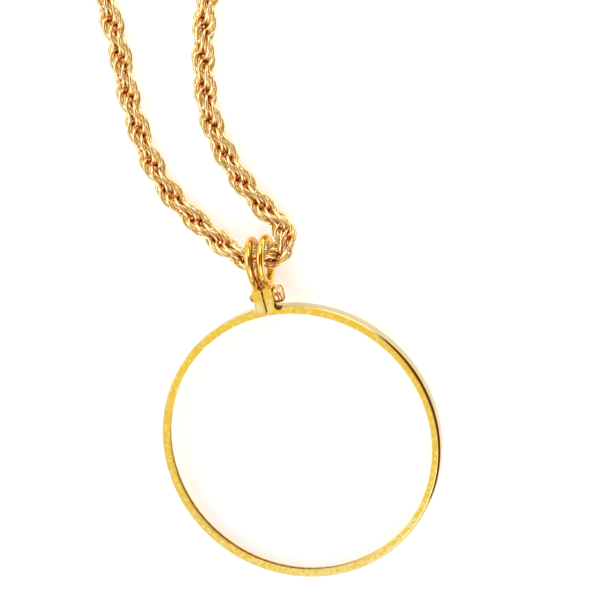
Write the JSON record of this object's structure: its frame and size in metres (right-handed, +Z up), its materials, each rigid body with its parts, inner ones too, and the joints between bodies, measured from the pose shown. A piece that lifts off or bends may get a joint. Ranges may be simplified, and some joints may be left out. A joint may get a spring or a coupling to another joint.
{
  "type": "magnifier pendant on a rope chain",
  "caption": "Round magnifying lens in a thin split gold rim with clamp lugs, screw and wire bail, worn on a long twisted rope chain.",
  "frame": {"origin": "on the surface that the pendant lies on, under the middle of the whole object's footprint", "axes": "+Z up off the surface, +Y from the lens towards the chain and its clasp, +X to the right of the lens seen from above"},
  "size_m": [0.16, 0.3766, 0.008],
  "materials": {
    "gold": "gold plated brass, satin on the rim's faces and polished elsewhere",
    "rope_gold": "gold plated brass wire, bright polished",
    "glass": "clear polished optical glass"
  },
  "bodies": {
    "root": {"rim": "gold", "lens": "glass", "clamp_screw": "gold", "rope_chain": "rope_gold", "clasp": "gold"}
  },
  "joints": []
}
